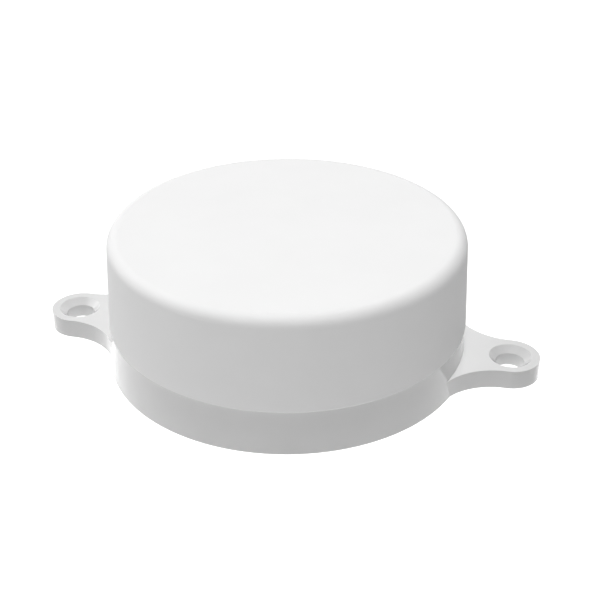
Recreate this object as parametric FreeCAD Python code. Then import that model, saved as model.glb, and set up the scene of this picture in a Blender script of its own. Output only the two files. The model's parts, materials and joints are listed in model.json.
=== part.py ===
# A round, wall-mounted wireless beacon about 57 mm across and 22 mm high, in millimetres.
# The origin is the centre of the mounting face, +Z points away from the wall, and the two ears lie along X.
# A moulded base carries the ears, the circuit board and the battery. A cap with a deep skirt screws down over
# it on four short helical ridges, like a jar lid, and squeezes a seal ring against the base's shoulder.
# The housing is sized from the inside out: the battery, the radio module and the screws set the board, the
# board sets the cavity, and the walls and the screw closure are added outside it.
import FreeCAD
import Part
import math
import os

Vector = FreeCAD.Vector
UP = Vector(0, 0, 1)
ALONG_X = Vector(1, 0, 0)
ORIGIN = Vector(0, 0, 0)
OVERRUN = 1.0  # how far a cutting tool runs past the faces that it cuts
SAME_PLACE = 0.0001  # sizes and heights closer than this count as equal when edges are looked up

# Outside of the housing
rim_height = 7.0  # the skirt ends here, on the base's shoulder
cap_draft = 2.6  # degrees
cap_edge_radius = 1.8
rim_edge_chamfer = 0.15
rim_overhang = 0.3  # how far the cap's rim stands out over the base
foot_flare = 0.3  # how far the foot of the base stands out past the cap's rim
band_wall = 2.0

# Ears with countersunk screw holes
ear_reach = 7.1  # from the foot to a hole's centre
ear_thickness = 3.1
ear_tip_radius = 4.65
ear_blend_radius = 9.7
ear_blend_depth = 0.05  # how far a blend runs into the wall before it would touch it
hole_radius = 2.25
countersink_radius = 3.35
countersink_depth = 1.0

# Walls inside the housing
skirt_wall = 2.2
roof_thickness = 1.8
roof_inner_chamfer = 1.0
floor_thickness = 1.8
spigot_wall = 1.8
spigot_height = 7.6  # above the shoulder
spigot_lead_in = 0.5

# Screw closure: ridges on the spigot, shorter lugs inside the skirt, all on one helix
closure_starts = 4
closure_lead = 16.0  # rise in one full turn
ridge_span = 72.0  # degrees
lug_span = 24.0  # degrees
lug_lag = 6.0  # a closed lug starts this many degrees past its ridge's lower end
ridge_height = 0.8
ridge_root_width = 1.6
ridge_crest_width = 0.8
ridge_root_depth = 0.4  # how far a ridge is rooted in its wall
ridge_first_height = 2.8  # from the shoulder to the middle of a ridge's lower end
crest_clearance = 0.2
flank_clearance = 0.18

# Seal ring in a groove in the rim
seal_width = 0.9
seal_height = 0.75
seal_clearance = 0.05
seal_corner = 0.15

# Ribs of the mouldings
gusset_count = 12
gusset_thickness = 1.0
gusset_reach = 3.0
gusset_height = 3.4
gusset_root = 0.5  # how far a rib is rooted in its wall
roof_ring_radius = 12.0
roof_ring_width = 1.0
roof_ring_height = 0.5
pocket_count = 16  # pockets under the shoulder, between their ribs
pocket_rib = 1.2
pocket_roof = 1.8

# Circuit board and its seats
board_thickness = 1.2
board_standoff = 1.3
board_edge = 0.33  # from the radio module's far corners to the board's edge
board_clearance = 1.0  # from the board's edge to the spigot
board_hole_radius = 1.1
board_screw_inset = 3.2  # from the board's edge to a screw
board_screw_angle = 45.0  # degrees from X to the first of four screws
board_screw_gap = 0.3  # at least this much from a screw's head to the battery holder
boss_radius = 2.3
boss_floor = 0.6  # material left under a pilot hole
boss_root = 0.9  # how far a boss is rooted in the floor
key_radius = 1.0
key_clearance = 0.2
key_above_board = 0.6

# Board screws
screw_shank_radius = 0.9
screw_length = 2.9
screw_head_radius = 1.85
screw_head_height = 1.2
screw_head_chamfer = 0.45
screw_recess_width = 0.35
screw_recess_length = 2.2
screw_recess_depth = 0.6
screw_fit = 0.03

# Half-length AA cell, lying along X
cell_radius = 7.25
cell_length = 24.8
cell_y = -3.0
cell_above_board = 0.3
cell_headroom = 1.1  # from the cell to the roof
cell_sleeve = 0.2
cell_lip = 1.05  # how far the sleeve folds over each end
cell_button_radius = 2.2
cell_button_height = 0.9
cell_can_edge = 0.5
cell_can_wall = 0.3
insulator_thickness = 0.25
insulator_hole_clearance = 0.4
insulator_fit = 0.03

# Battery holder and its contacts
holder_clearance = 0.2
holder_side_wall = 0.95
holder_end_wall = 1.5
holder_above_axis = 2.6
holder_arm_width = 6.0
holder_arm_inset = 0.4  # from an end of the cell to its arm
holder_window_depth = 3.4  # the side windows reach this far below the axis
holder_slot_half_width = 4.2
holder_peg_radius = 0.75
holder_peg_length = 0.9
holder_peg_x = 12.2
holder_peg_y = 6.6
contact_thickness = 0.3
contact_width = 5.0
contact_bend = 0.4
contact_space = 2.4
contact_rise = 3.6
contact_foot = 1.5
contact_gap = 0.1  # between a contact and the holder
contact_touch_gap = 0.02  # between a contact and the cell
contact_lean = 0.3  # how far the tongue leans towards the cell

# Radio module
module_gap = 0.3  # to the battery holder
module_width = 10.0
module_length = 16.0
module_board = 0.8
module_pad_pitch = 1.3
module_pads_per_side = 8
module_pad_radius = 0.35
module_pad_first = 1.85  # from the module's end to its first pad
shield_inset = 0.4
shield_length = 9.6
shield_height = 1.5
shield_wall = 0.2
shield_corner = 0.6
radio_chip_size = 6.0
radio_chip_height = 0.9
antenna_length = 7.0
antenna_width = 2.0
antenna_height = 1.1
antenna_cap = 0.8
antenna_inset = 1.0

# Push button with a short travel
button_x = -5.6
button_gap = 2.2  # to the battery holder
button_size = 6.0
button_height = 3.3
button_cover = 0.3
button_corner = 0.4
plunger_radius = 1.7
plunger_clearance = 0.12
plunger_stand = 1.1
plunger_depth = 1.6
plunger_chamfer = 0.15
plunger_travel = 0.25
plunger_spare = 0.25
button_rivet_radius = 0.4
button_rivet_inset = 0.8
button_rivet_height = 0.15
button_leg_width = 0.7
button_leg_reach = 0.9
button_leg_thickness = 0.25

# Storage capacitor
capacitor_x = 5.6
capacitor_gap = 1.7  # to the battery holder
capacitor_radius = 3.15
capacitor_height = 5.0
capacitor_edge = 0.3
capacitor_base_size = 6.6
capacitor_base_height = 0.9
capacitor_base_chamfer = 1.2
capacitor_waist_height = 0.9
capacitor_waist_width = 0.7
capacitor_waist_depth = 0.25

# Small parts on the board: size along X, size along Y, height
crystal_size = (3.2, 1.5, 0.75)
crystal_corner = 0.3
sensor_size = (2.5, 3.0, 0.86)
regulator_size = (1.6, 2.9, 1.1)
regulator_lead_reach = 0.6
regulator_lead_root = 0.4
regulator_lead_width = 0.4
regulator_lead_pitch = 0.95
lead_thickness = 0.15
led_size = (2.8, 3.5, 1.7)
led_wall = 0.4
led_well_taper = 0.2
led_lens_depth = 1.1
led_x = 0.1
led_edge = 2.45  # from the LED to the board's edge
chip_size = (1.6, 0.8)
chip_cap = 0.3
capacitor_chip_height = 0.8
resistor_chip_height = 0.45

# Their places: distance out from the module's side, distance back from the battery holder
crystal_places = ((3.2, 2.0), (3.2, 4.5))
sensor_place = (-3.6, 2.6)
regulator_place = (-7.2, 1.8)
capacitor_chip_places = ((-3.4, 5.6), (-3.4, 7.2), (3.4, 7.0), (7.0, 1.8), (-7.0, 5.0))
resistor_chip_places = ((7.0, 3.8),)
# Places beside the holder's ends: distance out from the end, distance ahead of the holder's rear side
end_capacitor_places = ((1.5, 2.0),)
end_resistor_places = ((-1.5, 0.4), (-1.5, 2.0), (-1.5, 3.6), (1.5, 3.6))

# Places that follow from the sizes above
board_bottom = floor_thickness + board_standoff
board_top = board_bottom + board_thickness
cell_axis = board_top + cell_above_board + cell_radius
cell_right = cell_length / 2
can_radius = cell_radius - cell_sleeve
can_right = cell_right - cell_sleeve
roof_under = cell_axis + cell_radius + cell_headroom
overall_height = roof_under + roof_thickness
holder_half_width = cell_radius + holder_clearance + holder_side_wall
holder_inside = cell_right + contact_space
holder_right = holder_inside + holder_end_wall
holder_rear = cell_y + holder_half_width
holder_front = cell_y - holder_half_width
module_y = holder_rear + module_gap + module_length / 2
module_top = board_top + module_board
shield_width = module_width - 2 * shield_inset
shield_y = module_y - module_length / 2 + shield_inset + shield_length / 2
antenna_y = module_y + module_length / 2 - antenna_inset - antenna_width / 2
board_for_module = math.hypot(module_width / 2, module_y + module_length / 2) + board_edge
screw_y = screw_head_radius + board_screw_gap - holder_front
board_for_screws = screw_y / math.sin(math.radians(board_screw_angle)) + board_screw_inset
board_radius = max(board_for_module, board_for_screws)
board_screw_circle = board_radius - board_screw_inset
cavity_radius = board_radius + board_clearance
spigot_radius = cavity_radius + spigot_wall
spigot_top = rim_height + spigot_height
skirt_inner_radius = spigot_radius + ridge_height + crest_clearance
cap_rim_radius = skirt_inner_radius + skirt_wall
shoulder_radius = cap_rim_radius - rim_overhang
foot_radius = cap_rim_radius + foot_flare
wall_radius_at_ear = foot_radius - (foot_radius - shoulder_radius) * ear_thickness / rim_height
ear_root_radius = wall_radius_at_ear - ear_blend_depth
ear_x = foot_radius + ear_reach
ridge_start = rim_height + ridge_first_height
seal_radius = (skirt_inner_radius + cap_rim_radius) / 2
button_y = holder_front - button_gap - button_size / 2
button_top = board_top + button_height
capacitor_y = holder_front - capacitor_gap - capacitor_base_size / 2
led_y = led_edge + led_size[1] / 2 - board_radius


def at(x, y, z):
    return Vector(x, y, z)


def rod(radius, low, high, x=0.0, y=0.0):
    """An upright cylinder between two heights."""
    return Part.makeCylinder(radius, high - low, at(x, y, low), UP)


def bar(radius, left, right):
    """A cylinder along the battery's axis between two places on X."""
    return Part.makeCylinder(radius, right - left, at(left, cell_y, cell_axis), ALONG_X)


def ring(inner, outer, low, high):
    return rod(outer, low, high).cut(rod(inner, low - OVERRUN, high + OVERRUN))


def block(size_x, size_y, low, high, x=0.0, y=0.0):
    """A box centred on x and y between two heights."""
    return Part.makeBox(size_x, size_y, high - low, at(x - size_x / 2, y - size_y / 2, low))


def revolved(profile):
    """The solid that a closed line of (radius, height) points makes when turned about the Z axis."""
    corners = [at(radius, 0, height) for radius, height in profile]
    face = Part.Face(Part.makePolygon(corners + corners[:1]))
    return face.revolve(ORIGIN, UP, 360)


def plate(profile, thickness):
    """A rib in the XZ plane: a closed line of (x, z) points given thickness along Y."""
    corners = [at(x, -thickness / 2, z) for x, z in profile]
    return Part.Face(Part.makePolygon(corners + corners[:1])).extrude(at(0, thickness, 0))


def upright_edges(shape):
    """The straight edges that run along Z."""
    found = []
    for edge in shape.Edges:
        box = edge.BoundBox
        if box.XLength < SAME_PLACE and box.YLength < SAME_PLACE and box.ZLength > SAME_PLACE:
            found.append(edge)
    return found


def circles_at(shape, height, radius=None):
    """The round edges at one height, of one radius if it is given."""
    found = []
    for edge in shape.Edges:
        box = edge.BoundBox
        level = abs(box.ZMin - height) < SAME_PLACE and abs(box.ZMax - height) < SAME_PLACE
        if level and hasattr(edge.Curve, "Radius"):
            if radius is None or abs(edge.Curve.Radius - radius) < SAME_PLACE:
                found.append(edge)
    return found


def end_circles(shape):
    """Every round edge of a plain cylinder."""
    return [edge for edge in shape.Edges if hasattr(edge.Curve, "Radius")]


def turned(shape, angle):
    copy = shape.copy()
    copy.rotate(ORIGIN, UP, angle)
    return copy


def around(shape, count, first=0.0):
    """Copies of a shape, evenly spaced about the Z axis."""
    return [turned(shape, first + 360.0 * index / count) for index in range(count)]


def joined(shapes):
    shapes = list(shapes)
    return shapes[0].multiFuse(shapes[1:]).removeSplitter()


def group(shapes):
    return Part.makeCompound(list(shapes))


def helical_ridge(root_radius, crest_radius, span):
    """A short thread ridge of trapezoid section that starts at angle 0, with its middle at height 0."""
    outward = 1.0 if crest_radius > root_radius else -1.0
    flank_slope = (ridge_root_width - ridge_crest_width) / 2 / ridge_height
    rooted_radius = root_radius - outward * ridge_root_depth
    rooted_half = ridge_root_width / 2 + flank_slope * ridge_root_depth
    crest_half = ridge_crest_width / 2
    corners = [
        at(rooted_radius, 0, -rooted_half),
        at(crest_radius, 0, -crest_half),
        at(crest_radius, 0, crest_half),
        at(rooted_radius, 0, rooted_half),
    ]
    section = Part.makePolygon(corners + corners[:1])
    path = Part.Wire(Part.makeHelix(closure_lead, closure_lead * span / 360.0, root_radius))
    return Part.Solid(path.makePipeShell([section], True, True))


def closure_drop():
    """How far below its ridge a closed lug runs, so that the flanks pass with their clearance."""
    engaged = ridge_height - crest_clearance
    flank_slope = (ridge_root_width - ridge_crest_width) / 2 / ridge_height
    return ridge_crest_width + flank_slope * engaged + flank_clearance


def strip_side(points, bend, offset):
    """One side of a bent strip: runs of one or three points, three for each bend's arc."""
    headings = []
    for start, end in zip(points, points[1:]):
        length = math.hypot(end[0] - start[0], end[1] - start[1])
        headings.append(((end[0] - start[0]) / length, (end[1] - start[1]) / length))

    def shifted(point, heading):
        return (point[0] - offset * heading[1], point[1] + offset * heading[0])

    runs = [[shifted(points[0], headings[0])]]
    for corner, before, after in zip(points[1:], headings, headings[1:]):
        turn = math.acos(before[0] * after[0] + before[1] * after[1])
        left = math.copysign(1.0, before[0] * after[1] - before[1] * after[0])
        setback = bend * math.tan(turn / 2)
        start = (corner[0] - before[0] * setback, corner[1] - before[1] * setback)
        centre = (start[0] - left * before[1] * bend, start[1] + left * before[0] * bend)
        radius = bend - left * offset
        arc = []
        for share in (0.0, 0.5, 1.0):
            swing = left * turn * share
            spoke_x = left * (before[1] * math.cos(swing) + before[0] * math.sin(swing))
            spoke_z = left * (before[1] * math.sin(swing) - before[0] * math.cos(swing))
            arc.append((centre[0] + radius * spoke_x, centre[1] + radius * spoke_z))
        runs.append(arc)
    runs.append([shifted(points[-1], headings[-1])])
    return runs


def bent_strip(points, bend, thickness, width, y):
    """Sheet metal bent along points (x, z) in the XZ plane, centred on y."""

    def flat(point):
        return at(point[0], y - width / 2, point[1])

    def line(start, end):
        return Part.LineSegment(flat(start), flat(end)).toShape()

    sides = [strip_side(points, bend, thickness / 2), strip_side(points, bend, -thickness / 2)]
    edges = [line(sides[0][0][0], sides[1][0][0]), line(sides[0][-1][0], sides[1][-1][0])]
    for side in sides:
        for run, following in zip(side, side[1:]):
            edges.append(line(run[-1], following[0]))
            if len(following) == 3:
                edges.append(Part.Arc(*[flat(point) for point in following]).toShape())
    outline = Part.Wire(Part.__sortEdges__(edges))
    return Part.Face(outline).extrude(at(0, width, 0))


def ear(side):
    """One ear: a round tip that flares into the wall of the base through two hollow blends."""
    tip_reach = ear_tip_radius + ear_blend_radius
    wall_reach = ear_root_radius + ear_blend_radius
    blend_x = (wall_reach**2 - tip_reach**2 + ear_x**2) / (2 * ear_x)
    blend_y = math.sqrt(wall_reach**2 - blend_x**2)
    tip_share = ear_tip_radius / tip_reach
    wall_share = ear_root_radius / wall_reach
    tip_touch = (ear_x + (blend_x - ear_x) * tip_share, blend_y * tip_share)
    wall_touch = (blend_x * wall_share, blend_y * wall_share)
    middle_angle = math.atan2(
        (tip_touch[1] + wall_touch[1]) / 2 - blend_y, (tip_touch[0] + wall_touch[0]) / 2 - blend_x
    )
    hollow = (
        blend_x + ear_blend_radius * math.cos(middle_angle),
        blend_y + ear_blend_radius * math.sin(middle_angle),
    )

    def point(place, mirror=1.0):
        return at(side * place[0], mirror * place[1], 0)

    outline = [
        Part.LineSegment(ORIGIN, point(wall_touch)),
        Part.Arc(point(wall_touch), point(hollow), point(tip_touch)),
        Part.Arc(point(tip_touch), at(side * (ear_x + ear_tip_radius), 0, 0), point(tip_touch, -1.0)),
        Part.Arc(point(tip_touch, -1.0), point(hollow, -1.0), point(wall_touch, -1.0)),
        Part.LineSegment(point(wall_touch, -1.0), ORIGIN),
    ]
    wire = Part.Wire([curve.toShape() for curve in outline])
    return Part.Face(wire).extrude(at(0, 0, ear_thickness))


def ear_hole(side):
    """A screw hole with its countersink, cut from above."""
    slope = (countersink_radius - hole_radius) / countersink_depth
    cone = Part.makeCone(
        hole_radius,
        countersink_radius + slope * OVERRUN,
        countersink_depth + OVERRUN,
        at(side * ear_x, 0, ear_thickness - countersink_depth),
        UP,
    )
    return rod(hole_radius, -OVERRUN, ear_thickness + OVERRUN, side * ear_x).fuse(cone)


def base_pockets():
    """The coring under the shoulder, which leaves a wall, a roof and a ring of ribs."""
    outer = foot_radius - band_wall
    pockets = ring(spigot_radius, outer, -OVERRUN, rim_height - pocket_roof)
    spoke = Part.makeBox(outer, pocket_rib, rim_height, at(0, -pocket_rib / 2, 0))
    return pockets.cut(joined(around(spoke, pocket_count, 180.0 / pocket_count)))


def base_shell():
    """The moulded base: drafted band, shoulder, spigot with ridges, ears, bosses and keys for the board."""
    shell = revolved(
        [
            (0, 0),
            (foot_radius, 0),
            (shoulder_radius, rim_height),
            (spigot_radius, rim_height),
            (spigot_radius, spigot_top - spigot_lead_in),
            (spigot_radius - spigot_lead_in, spigot_top),
            (cavity_radius, spigot_top),
            (cavity_radius, floor_thickness),
            (0, floor_thickness),
        ]
    )
    inside_band = rod(foot_radius - band_wall, -OVERRUN, ear_thickness + OVERRUN)
    ears = [ear(side).cut(inside_band) for side in (1, -1)]
    boss = rod(boss_radius, floor_thickness - boss_root, board_bottom, board_screw_circle)
    key = rod(key_radius, floor_thickness - boss_root, board_top + key_above_board, cavity_radius)
    ridge = helical_ridge(spigot_radius, spigot_radius + ridge_height, ridge_span)
    ridge.translate(at(0, 0, ridge_start))
    added = ears + around(boss, 4, board_screw_angle) + around(key, 2) + around(ridge, closure_starts)
    body = joined([shell.cut(base_pockets())] + added)
    pilot = rod(screw_shank_radius + screw_fit, boss_floor, board_bottom + OVERRUN, board_screw_circle)
    return body.cut(group(around(pilot, 4, board_screw_angle) + [ear_hole(1), ear_hole(-1)]))


def cap_outside():
    """The drafted cup with its rounded upper edge, still solid."""
    height = overall_height - rim_height
    top_radius = cap_rim_radius - height * math.tan(math.radians(cap_draft))
    body = Part.makeCone(cap_rim_radius, top_radius, height, at(0, 0, rim_height), UP)
    body = body.makeFillet(cap_edge_radius, circles_at(body, overall_height))
    return body.makeChamfer(rim_edge_chamfer, circles_at(body, rim_height, cap_rim_radius))


def cap_shell():
    """The moulded cap: drafted skirt, flat roof with a rounded edge, lugs, gussets and the seal's groove."""
    hollow = rod(skirt_inner_radius, rim_height - OVERRUN, roof_under)
    hollow = hollow.makeChamfer(roof_inner_chamfer, circles_at(hollow, roof_under))
    half_groove = seal_width / 2 + seal_clearance
    groove_top = rim_height + seal_height + seal_clearance
    groove = ring(seal_radius - half_groove, seal_radius + half_groove, rim_height - OVERRUN, groove_top)
    lug = turned(helical_ridge(skirt_inner_radius, skirt_inner_radius - ridge_height, lug_span), lug_lag)
    lug.translate(at(0, 0, ridge_start + closure_lead * lug_lag / 360.0 - closure_drop()))
    gusset = plate(
        [
            (skirt_inner_radius + gusset_root, roof_under - gusset_height),
            (skirt_inner_radius, roof_under - gusset_height),
            (skirt_inner_radius - gusset_reach, roof_under),
            (skirt_inner_radius - gusset_reach, roof_under + gusset_root),
            (skirt_inner_radius + gusset_root, roof_under + gusset_root),
        ],
        gusset_thickness,
    )
    half_ring = roof_ring_width / 2
    roof_ring = ring(
        roof_ring_radius - half_ring,
        roof_ring_radius + half_ring,
        roof_under - roof_ring_height,
        roof_under + gusset_root,
    )
    shell = cap_outside().cut(group([hollow, groove]))
    return joined([shell, roof_ring] + around(lug, closure_starts) + around(gusset, gusset_count))


def cap_seal_ring():
    """The seal, of square section with its inner upper corners broken."""
    inner = seal_radius - seal_width / 2
    outer = seal_radius + seal_width / 2
    top = rim_height + seal_height
    return revolved(
        [
            (inner, rim_height),
            (outer, rim_height),
            (outer, top - seal_corner),
            (outer - seal_corner, top),
            (inner + seal_corner, top),
            (inner, top - seal_corner),
        ]
    )


def board_peg_places():
    """Where the battery holder's two pegs go through the board."""
    return ((holder_peg_x, cell_y - holder_peg_y), (-holder_peg_x, cell_y + holder_peg_y))


def circuit_board():
    body = rod(board_radius, board_bottom, board_top)
    low = board_bottom - OVERRUN
    high = board_top + OVERRUN
    hole = rod(board_hole_radius, low, high, board_screw_circle)
    notch = rod(key_radius + key_clearance, low, high, cavity_radius)
    pegs = [rod(holder_peg_radius + screw_fit, low, high, x, y) for x, y in board_peg_places()]
    return body.cut(group(around(hole, 4, board_screw_angle) + around(notch, 2) + pegs))


def board_screws():
    """Four pan-head screws with cross recesses."""
    top = board_top + screw_head_height
    head = rod(screw_head_radius, board_top, top)
    head = head.makeChamfer(screw_head_chamfer, circles_at(head, top))
    shank = rod(screw_shank_radius, board_top - screw_length, board_top + screw_head_chamfer)
    slot = block(screw_recess_length, screw_recess_width, top - screw_recess_depth, top + OVERRUN)
    screw = joined([head, shank]).cut(slot.fuse(turned(slot, 90)))
    screw.translate(at(board_screw_circle, 0, 0))
    return group(around(screw, 4, board_screw_angle))


def edged_bar(radius, left, right, edge):
    body = bar(radius, left, right)
    return body.makeChamfer(edge, end_circles(body))


def battery_can():
    """The steel can with its positive button."""
    body = edged_bar(can_radius, -can_right, can_right, cell_can_edge)
    button = bar(cell_button_radius, 0, can_right + cell_button_height)
    return joined([body, button]).cut(battery_core())


def battery_core():
    """The rolled electrodes that fill the can."""
    return bar(can_radius - cell_can_wall, cell_can_wall - can_right, can_right - cell_can_wall)


def battery_sleeve():
    """The printed film shrunk round the can and over the edges of its ends."""
    outside = edged_bar(cell_radius, -cell_right, cell_right, cell_can_edge + cell_sleeve)
    inside = edged_bar(can_radius, -can_right, can_right, cell_can_edge)
    open_ends = bar(cell_radius - cell_lip, -cell_length, cell_length)
    return outside.cut(group([inside, open_ends]))


def battery_insulator():
    """A fibre washer round the positive button."""
    outer = bar(cell_radius - cell_lip - insulator_fit, can_right, can_right + insulator_thickness)
    inner = bar(cell_button_radius + insulator_hole_clearance, 0, cell_length)
    return outer.cut(inner)


def battery_holder():
    """An open cradle whose four arms snap round the cell."""
    width = 2 * holder_half_width
    top = cell_axis + holder_above_axis
    window_low = cell_axis - holder_window_depth
    body = block(2 * holder_right, width, board_top, top, 0, cell_y)
    cavity = bar(cell_radius + holder_clearance, -holder_inside, holder_inside)
    low_slot = block(
        2 * holder_inside, 2 * holder_slot_half_width, board_top - OVERRUN, cell_axis, 0, cell_y
    )
    arm_outer = cell_right - holder_arm_inset
    arm_inner = arm_outer - holder_arm_width
    cuts = [cavity, low_slot]
    cuts.append(block(2 * arm_inner, width + OVERRUN, window_low, top + OVERRUN, 0, cell_y))
    for side in (1, -1):
        notch_x = side * (holder_inside + arm_outer) / 2
        cuts.append(
            block(holder_inside - arm_outer, width + OVERRUN, window_low, top + OVERRUN, notch_x, cell_y)
        )
        foot_x = side * (holder_inside + holder_right) / 2
        foot_width = contact_width + 2 * contact_gap
        foot_top = board_top + contact_thickness + contact_gap
        cuts.append(
            block(holder_end_wall + OVERRUN, foot_width, board_top - OVERRUN, foot_top, foot_x, cell_y)
        )
    pegs = [
        rod(holder_peg_radius, board_top - holder_peg_length, board_top + holder_peg_length, x, y)
        for x, y in board_peg_places()
    ]
    return joined([body.cut(group(cuts))] + pegs)


def spring_contact(side, face_x):
    """A leaf contact: foot on the board, upright behind the cell, and a tongue that leans on the cell."""
    upright = holder_inside - contact_gap - contact_thickness / 2
    foot_z = board_top + contact_thickness / 2
    touch = face_x + contact_touch_gap + contact_thickness / 2
    top = cell_axis + contact_rise
    points = [
        (side * (holder_right + contact_foot), foot_z),
        (side * upright, foot_z),
        (side * upright, top),
        (side * (touch + contact_lean), top),
        (side * touch, cell_axis),
        (side * (touch + contact_lean), cell_axis - contact_rise / 2),
    ]
    return bent_strip(points, contact_bend, contact_thickness, contact_width, cell_y)


def radio_board():
    """The module's own board, with half-round soldering pads along both sides."""
    body = block(module_width, module_length, board_top, module_top, 0, module_y)
    first = module_y - module_length / 2 + module_pad_first
    pad = rod(module_pad_radius, board_top - OVERRUN, module_top + OVERRUN)
    pads = []
    for side in (1, -1):
        for index in range(module_pads_per_side):
            copy = pad.copy()
            copy.translate(at(side * module_width / 2, first + module_pad_pitch * index, 0))
            pads.append(copy)
    return body.cut(group(pads))


def radio_shield():
    """A drawn can over the radio chip, open below."""
    outside = block(shield_width, shield_length, module_top, module_top + shield_height, 0, shield_y)
    outside = outside.makeFillet(shield_corner, upright_edges(outside))
    inside = block(
        shield_width - 2 * shield_wall,
        shield_length - 2 * shield_wall,
        module_top - OVERRUN,
        module_top + shield_height - shield_wall,
        0,
        shield_y,
    )
    inside = inside.makeFillet(shield_corner - shield_wall, upright_edges(inside))
    return outside.cut(inside)


def radio_chip():
    return block(radio_chip_size, radio_chip_size, module_top, module_top + radio_chip_height, 0, shield_y)


def chip_antenna():
    middle = antenna_length - 2 * antenna_cap
    return block(middle, antenna_width, module_top, module_top + antenna_height, 0, antenna_y)


def antenna_terminals():
    x = (antenna_length - antenna_cap) / 2
    top = module_top + antenna_height
    return group(block(antenna_cap, antenna_width, module_top, top, side * x, antenna_y) for side in (1, -1))


def plunger_hole(low, high):
    return rod(plunger_radius + plunger_clearance, low, high, button_x, button_y)


def button_body():
    body = block(button_size, button_size, board_top, button_top, button_x, button_y)
    body = body.makeFillet(button_corner, upright_edges(body))
    well_floor = button_top - plunger_depth - plunger_travel - plunger_spare
    return body.cut(plunger_hole(well_floor, button_top + OVERRUN))


def button_cover_plate():
    """The steel cover with its four rivet heads."""
    top = button_top + button_cover
    body = block(button_size, button_size, button_top, top, button_x, button_y)
    body = body.makeFillet(button_corner, upright_edges(body))
    body = body.cut(plunger_hole(button_top - OVERRUN, top + OVERRUN))
    offset = button_size / 2 - button_rivet_inset
    corners = [(offset, offset), (offset, -offset), (-offset, offset), (-offset, -offset)]
    low = top - button_rivet_height
    high = top + button_rivet_height
    rivets = [rod(button_rivet_radius, low, high, button_x + x, button_y + y) for x, y in corners]
    return joined([body] + rivets)


def button_plunger():
    top = button_top + button_cover + plunger_stand
    body = rod(plunger_radius, button_top - plunger_depth, top, button_x, button_y)
    return body.makeChamfer(plunger_chamfer, circles_at(body, top))


def button_terminals():
    """Two flat legs on each side."""
    x = (button_size + button_leg_reach) / 2
    y = button_size / 2 - button_leg_width
    places = [(x, y), (x, -y), (-x, y), (-x, -y)]
    top = board_top + button_leg_thickness
    return group(
        block(button_leg_reach, button_leg_width, board_top, top, button_x + left, button_y + ahead)
        for left, ahead in places
    )


def capacitor_base():
    """The insulating base, with two corners cut off on the positive side."""
    top = board_top + capacitor_base_height
    body = block(capacitor_base_size, capacitor_base_size, board_top, top, capacitor_x, capacitor_y)
    right = [edge for edge in upright_edges(body) if edge.BoundBox.XMin > capacitor_x]
    return body.makeChamfer(capacitor_base_chamfer, right)


def storage_capacitor():
    """A round can with the waist that is rolled into it over its rubber plug."""
    low = board_top + capacitor_base_height
    high = low + capacitor_height
    waist = low + capacitor_waist_height
    body = revolved(
        [
            (0, low),
            (capacitor_radius, low),
            (capacitor_radius, waist - capacitor_waist_width / 2),
            (capacitor_radius - capacitor_waist_depth, waist),
            (capacitor_radius, waist + capacitor_waist_width / 2),
            (capacitor_radius, high - capacitor_edge),
            (capacitor_radius - capacitor_edge, high),
            (0, high),
        ]
    )
    body.translate(at(capacitor_x, capacitor_y, 0))
    return body


def beside_module(place):
    """A place on the board given from the module's side and the battery holder's rear."""
    out, back = place
    return (out + math.copysign(module_width / 2, out), holder_rear + back)


def beside_holder(place):
    """A place on the board given from the battery holder's end and its rear side."""
    out, ahead = place
    return (out + math.copysign(holder_right, out), holder_rear - ahead)


def timing_crystals():
    length, width, height = crystal_size
    cans = []
    for place in crystal_places:
        can = block(length, width, board_top, board_top + height, *beside_module(place))
        cans.append(can.makeFillet(crystal_corner, upright_edges(can)))
    return group(cans)


def motion_sensor():
    length, width, height = sensor_size
    return block(length, width, board_top, board_top + height, *beside_module(sensor_place))


def voltage_regulator():
    length, width, height = regulator_size
    place = beside_module(regulator_place)
    return block(length, width, board_top + lead_thickness, board_top + height, *place)


def regulator_leads():
    """Five leads: three on one side and two on the other, with feet on the board under the body's edge."""
    length = regulator_size[0]
    x, y = beside_module(regulator_place)
    reach = regulator_lead_reach + regulator_lead_root
    offset = length / 2 - regulator_lead_root + reach / 2
    places = [(-1, -1), (-1, 0), (-1, 1), (1, -1), (1, 1)]
    top = board_top + lead_thickness
    return group(
        block(reach, regulator_lead_width, board_top, top, x + side * offset, y + row * regulator_lead_pitch)
        for side, row in places
    )


def led_well():
    """The LED's round reflector well, which its lens fills."""
    top = board_top + led_size[2]
    radius = led_size[0] / 2 - led_wall
    low = at(led_x, led_y, top - led_lens_depth)
    return Part.makeCone(radius - led_well_taper, radius, led_lens_depth, low, UP)


def status_led():
    length, width, height = led_size
    return block(length, width, board_top, board_top + height, led_x, led_y).cut(led_well())


def capacitor_chips():
    """Where the small capacitors are."""
    return [beside_module(place) for place in capacitor_chip_places] + [
        beside_holder(place) for place in end_capacitor_places
    ]


def resistor_chips():
    """Where the small resistors are."""
    return [beside_module(place) for place in resistor_chip_places] + [
        beside_holder(place) for place in end_resistor_places
    ]


def chip_bodies(places, height):
    length, width = chip_size
    return group(block(length - 2 * chip_cap, width, board_top, board_top + height, x, y) for x, y in places)


def chip_terminals():
    """The tinned ends of every small capacitor and resistor."""
    length, width = chip_size
    offset = (length - chip_cap) / 2
    ends = []
    kinds = ((capacitor_chips(), capacitor_chip_height), (resistor_chips(), resistor_chip_height))
    for places, height in kinds:
        for x, y in places:
            for side in (1, -1):
                ends.append(block(chip_cap, width, board_top, board_top + height, x + side * offset, y))
    return group(ends)


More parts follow.
